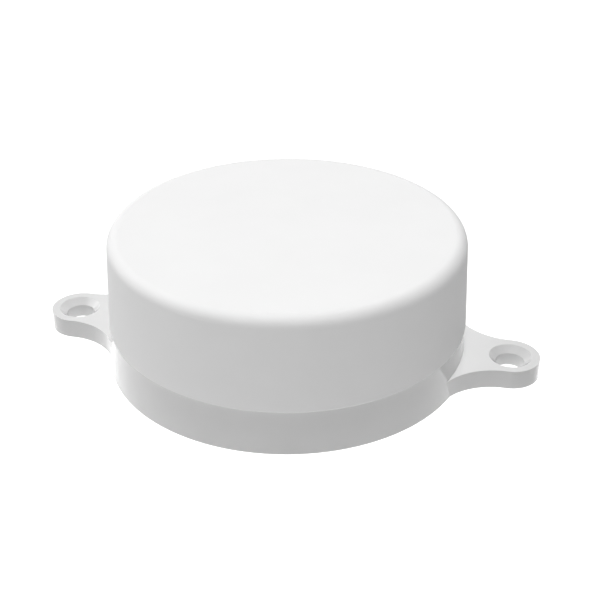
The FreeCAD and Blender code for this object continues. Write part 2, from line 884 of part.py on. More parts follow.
def all_parts():
    return {
        "base_shell": base_shell(),
        "cap_shell": cap_shell(),
        "cap_seal_ring": cap_seal_ring(),
        "circuit_board": circuit_board(),
        "board_screws": board_screws(),
        "battery_can": battery_can(),
        "battery_core": battery_core(),
        "battery_sleeve": battery_sleeve(),
        "battery_insulator": battery_insulator(),
        "battery_holder": battery_holder(),
        "positive_contact": spring_contact(1, can_right + cell_button_height),
        "negative_contact": spring_contact(-1, can_right),
        "radio_board": radio_board(),
        "radio_shield": radio_shield(),
        "radio_chip": radio_chip(),
        "chip_antenna": chip_antenna(),
        "antenna_terminals": antenna_terminals(),
        "button_body": button_body(),
        "button_cover_plate": button_cover_plate(),
        "button_plunger": button_plunger(),
        "button_terminals": button_terminals(),
        "capacitor_base": capacitor_base(),
        "storage_capacitor": storage_capacitor(),
        "timing_crystals": timing_crystals(),
        "motion_sensor": motion_sensor(),
        "voltage_regulator": voltage_regulator(),
        "regulator_leads": regulator_leads(),
        "status_led": status_led(),
        "led_lens": led_well(),
        "chip_capacitors": chip_bodies(capacitor_chips(), capacitor_chip_height),
        "chip_resistors": chip_bodies(resistor_chips(), resistor_chip_height),
        "chip_terminals": chip_terminals(),
    }


def main():
    os.makedirs("parts", exist_ok=True)
    for name, shape in all_parts().items():
        shape.exportStep(f"parts/{name}.step")
        print(f"{name}: {len(shape.Solids)} solid(s), valid {shape.isValid()}, {shape.Volume:.1f} mm3")


main()
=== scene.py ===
import json
import math

import bmesh
import bpy
from mathutils import Matrix, Vector

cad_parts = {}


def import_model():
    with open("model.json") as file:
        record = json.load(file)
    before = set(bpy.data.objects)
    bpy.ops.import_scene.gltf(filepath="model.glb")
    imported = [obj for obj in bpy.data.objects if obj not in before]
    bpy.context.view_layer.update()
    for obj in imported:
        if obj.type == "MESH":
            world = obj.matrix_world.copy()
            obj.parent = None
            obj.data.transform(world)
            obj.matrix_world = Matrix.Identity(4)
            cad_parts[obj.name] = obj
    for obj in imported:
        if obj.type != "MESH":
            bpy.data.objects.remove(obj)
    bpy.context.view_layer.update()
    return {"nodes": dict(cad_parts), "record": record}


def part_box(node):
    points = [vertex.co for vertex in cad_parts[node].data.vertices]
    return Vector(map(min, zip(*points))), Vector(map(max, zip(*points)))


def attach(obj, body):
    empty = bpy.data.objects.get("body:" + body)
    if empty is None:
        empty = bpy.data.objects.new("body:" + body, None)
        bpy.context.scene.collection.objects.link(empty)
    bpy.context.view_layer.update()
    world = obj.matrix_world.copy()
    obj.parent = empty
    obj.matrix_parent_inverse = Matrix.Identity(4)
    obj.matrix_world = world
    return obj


MM = 0.001

# Camera, worked out from the outline in the photograph
IMAGE_WIDTH = 600.0  # pixels
FOCAL_PIXELS = 1172.7
SENSOR_WIDTH = 36.0  # millimetres, as the camera's settings have it
CAMERA_AZIMUTH = math.radians(12.196)
CAMERA_ELEVATION = math.radians(30.161)
CAMERA_BACK = 193.228 * MM
CAMERA_RIGHT = 1.9712 * MM
CAMERA_UP = 7.6356 * MM

# Studio
LAMP_TARGET = Vector((0, 0, 10 * MM))
FLOOR_SIZE = 6.0
FLOOR_DROP = 0.02 * MM
FLOOR_COLOUR = (0.8, 0.8, 0.8)
FLOOR_GLOW = 0.4  # what lifts the lit floor round the object to white
FLOOR_NEAR = 0.2  # past here the lamps fade, and the glow grows to white
FLOOR_FAR = 0.9
AMBIENT = 0.01
WHITE = (1.0, 1.0, 1.0)

# Colours that more than one material uses
EPOXY = (0.016, 0.016, 0.017)
MASK_BRIGHT = (0.012, 0.105, 0.042)

# Shared by several materials
SHARP = 1e-6  # half the width of an edge with no visible blur
LYING = 0.5  # a face with a flatness above this lies rather than stands
LEVEL = 0.9  # and above this it is all but level
DENT_DEPTH = 0.05 * MM  # of the marks that a mould leaves
MARK_BLUR = 0.03 * MM

# The radio module's rows of pads
PAD_FIRST = 1.85 * MM
PAD_PITCH = 1.3 * MM
PADS_PER_SIDE = 8

# Copper, solder and print on the boards
TRACK_WIDTH = 0.22 * MM
TRACK_RISE = 0.02 * MM
TRACK_START = 0.2 * MM  # from the middle of a chip's end
TRACK_RUN = 0.4 * MM  # each of a chip's two stretches of track, along the board
SHORT_TRACK = 1.0 * MM
LONG_TRACK = 1.7 * MM
TRACK_TUCK = 0.3 * MM  # how far a pad's track starts under the module
MITRE_LIMIT = 0.5  # keeps the corners of sharp turns short
PRINT_WIDTH = 0.15 * MM
PRINT_RISE = 0.035 * MM
PRINT_GAP = 0.3 * MM
VIA_OUTER = 0.26 * MM
VIA_INNER = 0.12 * MM
VIA_STEPS = 20
SINK = 0.01 * MM  # how far a thin piece reaches down into what carries it
WELD = 0.001 * MM  # corners nearer than this are one corner
SORT_STEP = 0.01 * MM  # smaller differences don't change the order of a node's solids


class Finish:
    """One material being made: its shader, and short names for adding nodes to it."""

    def __init__(self, name, metallic=0.0, specular=0.5):
        self.material = bpy.data.materials.new(name)
        self.material.use_nodes = True
        self.tree = self.material.node_tree
        self.tree.nodes.clear()
        output = self.add("ShaderNodeOutputMaterial")
        self.shader = self.add("ShaderNodeBsdfPrincipled")
        self.tree.links.new(self.shader.outputs["BSDF"], output.inputs["Surface"])
        self.put("Metallic", metallic)
        self.put("Specular IOR Level", specular)
        coordinates = self.add("ShaderNodeTexCoord")
        self.place = coordinates.outputs["Object"]
        self.x, self.y, self.z = self.parts(self.place)
        self.facing_up = self.parts(coordinates.outputs["Normal"])[2]
        self.flatness = self.math("ABSOLUTE", self.facing_up)

    def add(self, kind, **settings):
        node = self.tree.nodes.new(kind)
        for key, value in settings.items():
            setattr(node, key, value)
        return node

    def feed(self, value, target):
        """Links another node's result to an input, or sets a plain number or colour on it."""
        if isinstance(value, bpy.types.NodeSocket):
            self.tree.links.new(value, target)
        elif isinstance(value, tuple):
            target.default_value = (*value, 1.0)
        else:
            target.default_value = value

    def put(self, name, value):
        self.feed(value, self.shader.inputs[name])

    def parts(self, vector):
        node = self.add("ShaderNodeSeparateXYZ")
        self.tree.links.new(vector, node.inputs["Vector"])
        return node.outputs["X"], node.outputs["Y"], node.outputs["Z"]

    def math(self, operation, first, second=0.0):
        node = self.add("ShaderNodeMath", operation=operation)
        self.feed(first, node.inputs[0])
        self.feed(second, node.inputs[1])
        return node.outputs["Value"]

    def stretched(self, x=1.0, y=1.0, z=1.0):
        """The place in the part, squeezed along some axes so that a pattern on it draws out into streaks."""
        node = self.add("ShaderNodeMapping")
        node.inputs["Scale"].default_value = (x, y, z)
        self.tree.links.new(self.place, node.inputs["Vector"])
        return node.outputs["Vector"]

    def noise(self, size, detail=2.0, place=None):
        """Cloudy noise whose features are about size metres across."""
        node = self.add("ShaderNodeTexNoise")
        self.tree.links.new(place or self.place, node.inputs["Vector"])
        node.inputs["Scale"].default_value = 1.0 / size
        node.inputs["Detail"].default_value = detail
        return node.outputs["Fac"]

    def cells(self, size, output="Distance", feature="F1", spread=1.0, metric="EUCLIDEAN"):
        """A pattern of cells about size metres across; spread 0 lines them up in a grid."""
        node = self.add("ShaderNodeTexVoronoi", feature=feature, distance=metric)
        self.tree.links.new(self.place, node.inputs["Vector"])
        node.inputs["Scale"].default_value = 1.0 / size
        node.inputs["Randomness"].default_value = spread
        return node.outputs[output]

    def scaled(self, value, low, high, start=0.0, end=1.0):
        """Low where the value is at start or below, high where it is at end or above."""
        node = self.add("ShaderNodeMapRange")
        for name, number in (("From Min", start), ("From Max", end), ("To Min", low), ("To Max", high)):
            node.inputs[name].default_value = number
        self.tree.links.new(value, node.inputs["Value"])
        return node.outputs["Result"]

    def under(self, value, edge, soft=SHARP):
        """1 where a value is below an edge and 0 above it."""
        return self.scaled(value, 1.0, 0.0, edge - soft, edge + soft)

    def over(self, value, edge, soft=SHARP):
        """0 where a value is below an edge and 1 above it."""
        return self.scaled(value, 0.0, 1.0, edge - soft, edge + soft)

    def both(self, first, second):
        return self.math("MULTIPLY", first, second)

    def either(self, first, second):
        return self.math("MAXIMUM", first, second)

    def without(self, value):
        return self.math("SUBTRACT", 1.0, value)

    def between(self, value, low, high):
        return self.both(self.over(value, low), self.under(value, high))

    def repeat(self, value, pitch, origin=0.0):
        """How far a place is from the nearest of a row of evenly spaced lines."""
        turns = self.math("DIVIDE", self.math("SUBTRACT", value, origin), pitch)
        off = self.math("SUBTRACT", turns, self.math("ROUND", turns))
        return self.math("MULTIPLY", self.math("ABSOLUTE", off), pitch)

    def span(self, first, second):
        """The length of two differences at right angles."""
        total = self.math("ADD", self.math("POWER", first, 2.0), self.math("POWER", second, 2.0))
        return self.math("SQRT", total)

    def away(self, first, second, place):
        """How far a point is from a place, measured along two axes."""
        return self.span(self.math("SUBTRACT", first, place[0]), self.math("SUBTRACT", second, place[1]))

    def mix(self, share, low, high):
        """The low colour where share is 0 and the high one where it is 1."""
        node = self.add("ShaderNodeMix", data_type="RGBA")
        sockets = {socket.identifier: socket for socket in node.inputs}
        self.feed(share, sockets["Factor_Float"])
        self.feed(low, sockets["A_Color"])
        self.feed(high, sockets["B_Color"])
        return next(socket for socket in node.outputs if socket.identifier == "Result_Color")

    def clouded(self, colour, size, loss, detail=3.0):
        """A colour that darkens by a share of itself in soft clouds."""
        cloud = self.scaled(self.noise(size, detail), 0.0, 1.0, start=0.35, end=0.65)
        return self.mix(cloud, shaded(colour, 1.0 - loss), colour)

    def bump(self, height, distance, relief=None):
        """A surface raised by distance where height is 1, on top of another relief if one is given."""
        node = self.add("ShaderNodeBump")
        node.inputs["Distance"].default_value = distance
        self.tree.links.new(height, node.inputs["Height"])
        if relief:
            self.tree.links.new(relief, node.inputs["Normal"])
        return node.outputs["Normal"]

    def ring_of_marks(self, ring_radius, count, mark_radius):
        """1 inside each of a ring of round marks about the Z axis."""
        angle = self.math("ARCTAN2", self.y, self.x)
        sideways = self.math("MULTIPLY", self.repeat(angle, 2 * math.pi / count), ring_radius)
        outward = self.math("SUBTRACT", self.span(self.x, self.y), ring_radius)
        return self.under(self.span(sideways, outward), mark_radius, MARK_BLUR)


def shaded(colour, share):
    """A colour with each channel at a share of what it was."""
    return tuple(channel * share for channel in colour)


def middle_of(box):
    return (box[0] + box[1]) / 2


def moulded(name, colour, roughness, specular=0.5, grain=0.25 * MM, depth=0.004 * MM, loss=0.03):
    """Injection-moulded plastic: slight clouding of colour and gloss, and a fine tool texture."""
    finish = Finish(name, specular=specular)
    finish.put("Base Color", finish.clouded(colour, 9 * MM, loss))
    gloss = finish.noise(3 * MM, detail=4.0)
    finish.put("Roughness", finish.scaled(gloss, 0.9 * roughness, 1.1 * roughness))
    finish.texture = finish.bump(finish.noise(grain, detail=3.0), depth)
    finish.put("Normal", finish.texture)
    return finish


def metal(name, colour, roughness, squeeze=(1.0, 1.0, 1.0), grain=0.12 * MM, depth=0.002 * MM):
    """Plated or rolled metal: stains, streaks along the squeezed axis and marks from handling."""
    finish = Finish(name, metallic=1.0)
    finish.put("Base Color", finish.clouded(colour, 1.5 * MM, loss=0.15, detail=4.0))
    streaks = finish.noise(grain, detail=4.0, place=finish.stretched(*squeeze))
    handled = finish.noise(1.1 * MM, detail=5.0)
    uneven = finish.math("MULTIPLY", finish.math("ADD", streaks, handled), 0.5)
    gloss = finish.scaled(uneven, 0.6 * roughness, 1.5 * roughness, start=0.3, end=0.7)
    finish.put("Roughness", gloss)
    finish.texture = finish.bump(streaks, depth)
    finish.put("Normal", finish.texture)
    return finish


def base_plastic():
    """White plastic from a polished tool, with the gate and the ejector marks under the base."""
    white = (0.618, 0.618, 0.618)
    gate_radius = 1.1 * MM
    just_above_wall = 0.05 * MM
    finish = moulded("base_plastic", white, roughness=0.1, specular=0.12)
    finish.put("Coat Weight", 1.0)
    finish.put("Coat Roughness", 0.03)
    underside = finish.under(finish.z, just_above_wall)
    marks = finish.ring_of_marks(ring_radius=14 * MM, count=6, mark_radius=1.5 * MM)
    gate = finish.under(finish.span(finish.x, finish.y), gate_radius, soft=0.1 * MM)
    dents = finish.both(finish.either(marks, gate), underside)
    finish.put("Normal", finish.bump(dents, -DENT_DEPTH, finish.texture))
    return finish


def cap_plastic():
    """White plastic from a dull tool, with ejector marks under the roof."""
    white = (0.815, 0.815, 0.815)
    skirt_top = 15 * MM
    finish = moulded("cap_plastic", white, 0.6, specular=0.1, grain=0.22 * MM, depth=0.006 * MM, loss=0.012)
    roof_inside = finish.both(finish.under(finish.facing_up, -LYING), finish.over(finish.z, skirt_top))
    marks = finish.ring_of_marks(ring_radius=18 * MM, count=6, mark_radius=1.25 * MM)
    dents = finish.both(marks, roof_inside)
    finish.put("Normal", finish.bump(dents, -DENT_DEPTH, finish.texture))
    return finish


def seal_rubber():
    """Grey silicone with a little dust on it."""
    grey = (0.10, 0.10, 0.105)
    dusty = (0.40, 0.40, 0.38)
    finish = moulded("seal_rubber", grey, roughness=0.6, grain=0.1 * MM, depth=0.006 * MM)
    dust = finish.over(finish.noise(0.35 * MM, detail=6.0), edge=0.62, soft=0.08)
    finish.put("Base Color", finish.mix(finish.scaled(dust, 0.0, 0.35), grey, dusty))
    return finish


def with_bare_edge(finish, face_colour):
    """A board's colour: its faces as given, its sides showing the bare glass layers."""
    dark_layer = (0.30, 0.27, 0.13)
    pale_layer = (0.62, 0.58, 0.33)
    layers = finish.noise(0.16 * MM, detail=4.0, place=finish.stretched(x=0.08, y=0.08))
    bare = finish.mix(layers, dark_layer, pale_layer)
    return finish.mix(finish.over(finish.flatness, LYING), bare, face_colour)


def masked_copper(finish, dark, bright, patch):
    """Solder mask: brighter over copper, darker along square-cornered gaps in it, with small vias whose
    holes are a slight dent coloured near black as painted shade.
    """
    via_pitch = 1.9 * MM
    via_radius = 0.16  # this and the next two are shares of their pattern's own size
    hole_radius = 0.075
    gap = 0.08
    nearest = finish.cells(patch, spread=0.9, metric="MANHATTAN")
    second = finish.cells(patch, feature="F2", spread=0.9, metric="MANHATTAN")
    copper = finish.over(finish.math("SUBTRACT", second, nearest), gap, soft=0.02)
    dots = finish.cells(via_pitch, spread=0.25)
    some = finish.over(finish.noise(4 * MM, detail=0.0), edge=0.5, soft=0.02)
    via = finish.both(finish.under(dots, via_radius, soft=0.02), some)
    # the via holes: a slight dent, and a dot of painted shade
    hole_dent_and_shade = finish.both(finish.under(dots, hole_radius, soft=0.01), some)
    colour = finish.mix(copper, dark, bright)
    colour = finish.mix(via, colour, shaded(bright, 1.7))
    # painted shade: each via hole is a near-black dot on the flat face, standing in for the shade inside the
    # hole
    colour = finish.mix(hole_dent_and_shade, colour, shaded(dark, 0.4))
    return colour, finish.math("SUBTRACT", finish.either(copper, via), hole_dent_and_shade)


def board_laminate():
    """The main board: green mask over copper, with the glass weave showing faintly through it."""
    dark = (0.006, 0.045, 0.018)
    weave_pitch = 0.5 * MM
    finish = Finish("board_laminate")
    mask, copper = masked_copper(finish, dark, MASK_BRIGHT, patch=5.5 * MM)
    finish.put("Base Color", with_bare_edge(finish, mask))
    glossy_face = finish.scaled(finish.noise(2 * MM, detail=3.0), 0.2, 0.32)
    dull_side = finish.scaled(finish.flatness, 0.75, 0.0)
    finish.put("Roughness", finish.either(glossy_face, dull_side))
    threads = finish.math("ADD", finish.repeat(finish.x, weave_pitch), finish.repeat(finish.y, weave_pitch))
    woven = finish.bump(finish.math("DIVIDE", threads, weave_pitch), 0.004 * MM)
    finish.put("Normal", finish.bump(copper, 0.03 * MM, woven))
    return finish


def module_laminate():
    """The module's dark board, bare of copper under its aerial, with plated pads along both sides."""
    dark = (0.004, 0.008, 0.022)
    bright = (0.008, 0.018, 0.055)
    gold = (0.83, 0.60, 0.27)
    antenna_area = 4.6 * MM
    pad_length = 0.75 * MM
    pad_half_width = 0.42 * MM
    low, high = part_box("radio_board")
    finish = Finish("module_laminate")
    mask, copper = masked_copper(finish, dark, bright, patch=2.6 * MM)
    before_antenna = finish.under(finish.y, high.y - antenna_area)
    from_side = finish.math("SUBTRACT", (high.x - low.x) / 2, finish.math("ABSOLUTE", finish.x))
    first = low.y + PAD_FIRST
    last = first + PAD_PITCH * (PADS_PER_SIDE - 1)
    beside = finish.under(finish.repeat(finish.y, PAD_PITCH, first), pad_half_width)
    in_row = finish.between(finish.y, first - PAD_PITCH / 2, last + PAD_PITCH / 2)
    pad = finish.both(finish.both(beside, in_row), finish.under(from_side, pad_length))
    face = finish.mix(before_antenna, dark, mask)
    finish.put("Base Color", finish.mix(pad, with_bare_edge(finish, face), gold))
    finish.put("Metallic", pad)
    finish.put("Roughness", finish.scaled(finish.noise(1 * MM, detail=4.0), 0.18, 0.34))
    raised = finish.either(finish.both(copper, before_antenna), pad)
    finish.put("Normal", finish.bump(raised, 0.02 * MM))
    return finish


def plated_steel():
    """Nickel-plated steel with fine scratches."""
    nickel = (0.62, 0.61, 0.585)
    finish = metal("plated_steel", nickel, roughness=0.24)
    scratches = finish.noise(0.05 * MM, detail=3.0, place=finish.stretched(y=0.06, z=0.3))
    cuts = finish.over(scratches, edge=0.68, soft=0.05)
    finish.put("Normal", finish.bump(cuts, -0.002 * MM, finish.texture))
    return finish


def battery_electrodes():
    """The rolled layers of the cell, seen on end as rings."""
    foil_colour = (0.45, 0.46, 0.48)
    layer_pitch = 0.4 * MM
    axis = middle_of(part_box("battery_core"))
    finish = moulded("battery_electrodes", EPOXY, roughness=0.7)
    layer = finish.repeat(finish.away(finish.y, finish.z, axis.yz), layer_pitch)
    foil = finish.scaled(layer, 1.0, 0.0, start=0.05 * MM, end=0.15 * MM)
    finish.put("Base Color", finish.mix(foil, EPOXY, foil_colour))
    finish.put("Metallic", foil)
    return finish


def battery_sleeve():
    """Shrunk film, green with a silver band at the button end, slightly rippled."""
    green = (0.012, 0.17, 0.085)
    silver_colour = (0.58, 0.58, 0.57)
    band_length = 6.5 * MM
    line_gap = 0.4 * MM
    line_width = 0.5 * MM
    band_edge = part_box("battery_sleeve")[1].x - band_length
    line_edge = band_edge - line_gap
    finish = Finish("battery_sleeve")
    line = finish.between(finish.x, line_edge - line_width, line_edge)
    silver = finish.either(finish.over(finish.x, band_edge), line)
    film = finish.clouded(green, 4 * MM, loss=0.12)
    finish.put("Base Color", finish.mix(silver, film, silver_colour))
    finish.put("Metallic", finish.scaled(silver, 0.0, 0.85))
    finish.put("Roughness", finish.scaled(finish.noise(2 * MM, detail=4.0), 0.16, 0.32))
    finish.put("Coat Weight", 0.5)
    finish.put("Coat Roughness", 0.12)
    ripples = finish.noise(1.6 * MM, detail=3.0, place=finish.stretched(x=0.25))
    finish.put("Normal", finish.bump(ripples, 0.05 * MM))
    return finish


def insulator_fibre():
    """Pressed fibre with loose strands in it."""
    dark = (0.42, 0.37, 0.26)
    pale = (0.72, 0.68, 0.55)
    finish = Finish("insulator_fibre", specular=0.2)
    fibres = finish.noise(0.12 * MM, detail=5.0, place=finish.stretched(y=0.25))
    finish.put("Base Color", finish.mix(fibres, dark, pale))
    finish.put("Roughness", finish.scaled(fibres, 0.7, 0.95))
    finish.put("Normal", finish.bump(fibres, 0.02 * MM))
    return finish


def holder_plastic():
    """Black nylon with short glass fibres near its surface."""
    glass = (0.09, 0.09, 0.095)
    finish = moulded("holder_plastic", EPOXY, roughness=0.42, grain=0.3 * MM, depth=0.01 * MM)
    strands = finish.noise(0.07 * MM, detail=2.0, place=finish.stretched(x=0.3))
    fibres = finish.scaled(finish.over(strands, edge=0.66, soft=0.05), 0.0, 0.5)
    finish.put("Base Color", finish.mix(fibres, EPOXY, glass))
    return finish


def contact_metal():
    """Tinned spring bronze, with the bronze bare on its cut sides."""
    tin = (0.70, 0.68, 0.63)
    bronze = (0.55, 0.33, 0.17)
    skin = 0.02 * MM
    low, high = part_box("positive_contact")
    finish = metal("contact_metal", tin, roughness=0.22, squeeze=(1.0, 0.05, 1.0), grain=0.08 * MM)
    off_middle = finish.math("ABSOLUTE", finish.math("SUBTRACT", finish.y, (low.y + high.y) / 2))
    cut_side = finish.over(off_middle, (high.y - low.y) / 2 - skin)
    plating = finish.clouded(tin, 1.5 * MM, loss=0.12, detail=4.0)
    finish.put("Base Color", finish.mix(cut_side, plating, bronze))
    return finish


def shield_metal():
    """Bright tinned sheet with rolling streaks."""
    tin = (0.52, 0.52, 0.515)
    return metal("shield_metal", tin, 0.3, squeeze=(1.0, 0.04, 1.0), grain=0.1 * MM, depth=0.003 * MM)


def first_corner(node, inset):
    """A place near the rear left corner of a node, where a mark shows which way round it goes."""
    low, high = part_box(node)
    return (low.x + inset, high.y - inset)


def chip_plastic():
    """Black epoxy with a moulded dot at each chip's first lead."""
    worn = (0.05, 0.05, 0.05)
    finish = moulded("chip_plastic", EPOXY, roughness=0.5, grain=0.06 * MM)
    dots = 0.0
    for node, inset, radius in (
        ("radio_chip", 0.8 * MM, 0.3 * MM),
        ("motion_sensor", 0.5 * MM, 0.16 * MM),
        ("voltage_regulator", 0.4 * MM, 0.14 * MM),
    ):
        distance = finish.away(finish.x, finish.y, first_corner(node, inset))
        dots = finish.either(finish.under(distance, radius, soft=0.01 * MM), dots)
    dots = finish.both(dots, finish.over(finish.flatness, LYING))
    finish.put("Base Color", finish.mix(dots, finish.clouded(EPOXY, 1 * MM, loss=0.2), worn))
    finish.put("Normal", finish.bump(dots, -0.03 * MM, finish.texture))
    return finish


def antenna_ceramic():
    """Pale ceramic with the silver turns of the aerial printed round it."""
    pale = (0.55, 0.62, 0.72)
    silver = (0.72, 0.71, 0.68)
    turn_pitch = 0.75 * MM
    turn_half_width = 0.13 * MM
    finish = moulded("antenna_ceramic", pale, roughness=0.3, grain=0.08 * MM)
    turn = finish.under(finish.repeat(finish.x, turn_pitch), turn_half_width, soft=0.01 * MM)
    finish.put("Base Color", finish.mix(turn, finish.clouded(pale, 1 * MM, loss=0.08), silver))
    finish.put("Metallic", turn)
    finish.put("Normal", finish.bump(turn, 0.02 * MM, finish.texture))
    return finish


def solder_tin():
    """Reflowed tin: small crystals that differ in gloss."""
    dark = (0.60, 0.60, 0.59)
    pale = (0.72, 0.72, 0.71)
    finish = Finish("solder_tin", metallic=1.0)
    grey = finish.parts(finish.cells(0.12 * MM, output="Color"))[0]
    finish.put("Base Color", finish.mix(grey, dark, pale))
    finish.put("Roughness", finish.scaled(grey, 0.2, 0.42))
    finish.put("Normal", finish.bump(finish.noise(0.15 * MM, detail=3.0), 0.01 * MM))
    return finish


def button_plastic():
    """The button's black body."""
    return moulded("button_plastic", EPOXY, roughness=0.4, grain=0.08 * MM)


def plunger_plastic():
    """A brown button with its top worn smoother in places."""
    brown = (0.16, 0.12, 0.09)
    finish = moulded("plunger_plastic", brown, roughness=0.45, grain=0.1 * MM)
    worn = finish.both(finish.over(finish.flatness, LEVEL), finish.noise(0.4 * MM, detail=3.0))
    finish.put("Roughness", finish.scaled(worn, 0.5, 0.2))
    return finish


def capacitor_foil_can():
    """Drawn aluminium with a printed black segment over the negative lead."""
    silver = (0.80, 0.80, 0.81)
    bare_rim = 0.5 * MM
    low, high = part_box("storage_capacitor")
    middle = middle_of((low, high))
    radius = (high.x - low.x) / 2
    segment_edge = middle.x - 0.4 * radius
    finish = metal("capacitor_foil_can", silver, roughness=0.28, squeeze=(1.0, 1.0, 0.05), grain=0.1 * MM)
    left_part = finish.under(finish.x, segment_edge)
    segment = finish.both(left_part, finish.over(finish.facing_up, LEVEL))
    inside = finish.under(finish.away(finish.x, finish.y, middle), radius - bare_rim, soft=0.02 * MM)
    ink = finish.both(segment, inside)
    drawn = finish.clouded(silver, 1.5 * MM, loss=0.1, detail=4.0)
    finish.put("Base Color", finish.mix(ink, drawn, EPOXY))
    finish.put("Metallic", finish.without(ink))
    return finish


def led_plastic():
    """A white package with a green dot at one corner."""
    white = (0.80, 0.80, 0.76)
    green = (0.05, 0.30, 0.12)
    dot_radius = 0.2 * MM
    dot_inset = 0.35 * MM
    finish = moulded("led_plastic", white, roughness=0.35, grain=0.08 * MM)
    distance = finish.away(finish.x, finish.y, first_corner("status_led", dot_inset))
    dot = finish.under(distance, dot_radius, soft=0.01 * MM)
    finish.put("Base Color", finish.mix(dot, finish.clouded(white, 1 * MM, loss=0.04), green))
    return finish


def led_lens():
    """Yellow phosphor gel, deeper in colour towards the middle."""
    deep = (0.78, 0.56, 0.10)
    pale = (0.80, 0.68, 0.28)
    middle = middle_of(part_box("led_lens"))
    finish = Finish("led_lens")
    outward = finish.away(finish.x, finish.y, middle)
    edge = finish.scaled(outward, 0.0, 1.0, start=0.3 * MM, end=1 * MM)
    speckle = finish.clouded(deep, 0.1 * MM, loss=0.15)
    finish.put("Base Color", finish.mix(edge, speckle, pale))
    finish.put("Roughness", finish.scaled(finish.noise(0.5 * MM), 0.06, 0.14))
    finish.put("Normal", finish.bump(finish.noise(0.6 * MM), 0.02 * MM))
    return finish


def capacitor_ceramic():
    """Brown ceramic, uneven in colour."""
    brown = (0.30, 0.19, 0.10)
    return moulded("capacitor_ceramic", brown, 0.5, grain=0.05 * MM, depth=0.006 * MM, loss=0.2)


def track_mask():
    """Green mask where it runs up over a copper track."""
    green = (0.018, 0.15, 0.06)
    finish = Finish("track_mask")
    finish.put("Base Color", finish.clouded(green, 1 * MM, loss=0.15))
    finish.put("Roughness", finish.scaled(finish.noise(1 * MM, detail=3.0), 0.18, 0.3))
    finish.put("Normal", finish.bump(finish.noise(0.2 * MM), 0.004 * MM))
    return finish


def print_ink():
    """White ink, thin enough in places to let the mask through."""
    ink = (0.78, 0.78, 0.76)
    finish = Finish("print_ink")
    thin = finish.scaled(finish.noise(0.12 * MM, detail=4.0), 0.0, 0.5, start=0.5, end=0.75)
    finish.put("Base Color", finish.mix(thin, ink, MASK_BRIGHT))
    finish.put("Roughness", finish.scaled(finish.noise(0.3 * MM, detail=3.0), 0.45, 0.65))
    finish.put("Normal", finish.bump(finish.noise(0.08 * MM, detail=3.0), 0.005 * MM))
    return finish


SLOT_MAKERS = (
    base_plastic,
    cap_plastic,
    seal_rubber,
    board_laminate,
    module_laminate,
    plated_steel,
    battery_electrodes,
    battery_sleeve,
    insulator_fibre,
    holder_plastic,
    contact_metal,
    shield_metal,
    chip_plastic,
    antenna_ceramic,
    solder_tin,
    button_plastic,
    plunger_plastic,
    capacitor_foil_can,
    led_plastic,
    led_lens,
    capacitor_ceramic,
)


def dress(frame):
    """Gives every node of the frame its material, by the slot that it takes."""
    materials = {maker.__name__: maker().material for maker in SLOT_MAKERS}
    for entry in frame["record"]["subparts"]:
        piece = frame["nodes"][entry["node"]]
        piece.data.materials.clear()
        piece.data.materials.append(materials[entry["material_slot"]])
    return materials


def islands(piece):
    """The lowest and highest corners of each separate solid in a node, from left to right."""
    mesh = bmesh.new()
    mesh.from_mesh(piece.data)
    bmesh.ops.remove_doubles(mesh, verts=mesh.verts, dist=WELD)
    left = set(mesh.verts)
    boxes = []
    while left:
        waiting = [left.pop()]
        corners = []
        while waiting:
            vertex = waiting.pop()
            corners.append(vertex.co.copy())
            for edge in vertex.link_edges:
                other = edge.other_vert(vertex)
                if other in left:
                    left.discard(other)
                    waiting.append(other)
        low = Vector(min(corner[axis] for corner in corners) for axis in range(3))
        high = Vector(max(corner[axis] for corner in corners) for axis in range(3))
        boxes.append((low, high))
    mesh.free()
    return sorted(boxes, key=lambda box: tuple(round(number / SORT_STEP) for number in box[0]))


def add_loops(mesh, loops):
    """Joins rings of points, each with as many points as the next, into a closed skin."""
    rings = [[mesh.verts.new(point) for point in loop] for loop in loops]
    for below, above in zip(rings, rings[1:]):
        for index in range(len(below)):
            after = (index + 1) % len(below)
            mesh.faces.new((below[index], below[after], above[after], above[index]))
    mesh.faces.new(reversed(rings[0]))
    mesh.faces.new(rings[-1])


def rectangle(low, high, grow, z):
    """The corners of a box's outline, grown all round, at one height."""
    return [
        (low.x - grow, low.y - grow, z),
        (high.x + grow, low.y - grow, z),
        (high.x + grow, high.y + grow, z),
        (low.x - grow, high.y + grow, z),
    ]


def add_fillet(mesh, low, high, foot, waist, waist_height, top_height):
    """Solder round a box: foot and waist are how far it stands out at the board and higher up."""
    steps = ((foot, -SINK), (foot, SINK), (waist, waist_height), (SINK, top_height))
    add_loops(mesh, [rectangle(low, high, grow, low.z + z) for grow, z in steps])


def add_strip(mesh, points, width, floor, rise):
    """A flat strip along points on a board, with mitred corners."""
    flat = [Vector(point) for point in points]
    headings = [(after - before).normalized() for before, after in zip(flat, flat[1:])]
    sides = []
    for index, point in enumerate(flat):
        before = headings[max(index - 1, 0)]
        after = headings[min(index, len(headings) - 1)]
        across = Vector((-(before + after).y, (before + after).x)).normalized()
        reach = width / 2 / max(across.dot(Vector((-before.y, before.x))), MITRE_LIMIT)
        sides.append((point + across * reach, point - across * reach))
    outline = [right for left, right in sides] + [left for left, right in reversed(sides)]
    add_loops(mesh, [[(p.x, p.y, z) for p in outline] for z in (floor - SINK, floor + rise)])


def add_washer(mesh, x, y, floor):
    """The round land of a via."""
    turns = [2 * math.pi * step / VIA_STEPS for step in range(VIA_STEPS)]

    def circle(radius, z):
        return [mesh.verts.new((x + radius * math.cos(t), y + radius * math.sin(t), z)) for t in turns]

    rings = [
        circle(VIA_INNER, floor - SINK),
        circle(VIA_OUTER, floor - SINK),
        circle(VIA_OUTER, floor + TRACK_RISE),
        circle(VIA_INNER, floor + TRACK_RISE),
    ]
    for inner, outer in zip(rings, rings[1:] + rings[:1]):
        for index in range(VIA_STEPS):
            after = (index + 1) % VIA_STEPS
            mesh.faces.new((inner[index], inner[after], outer[after], outer[index]))


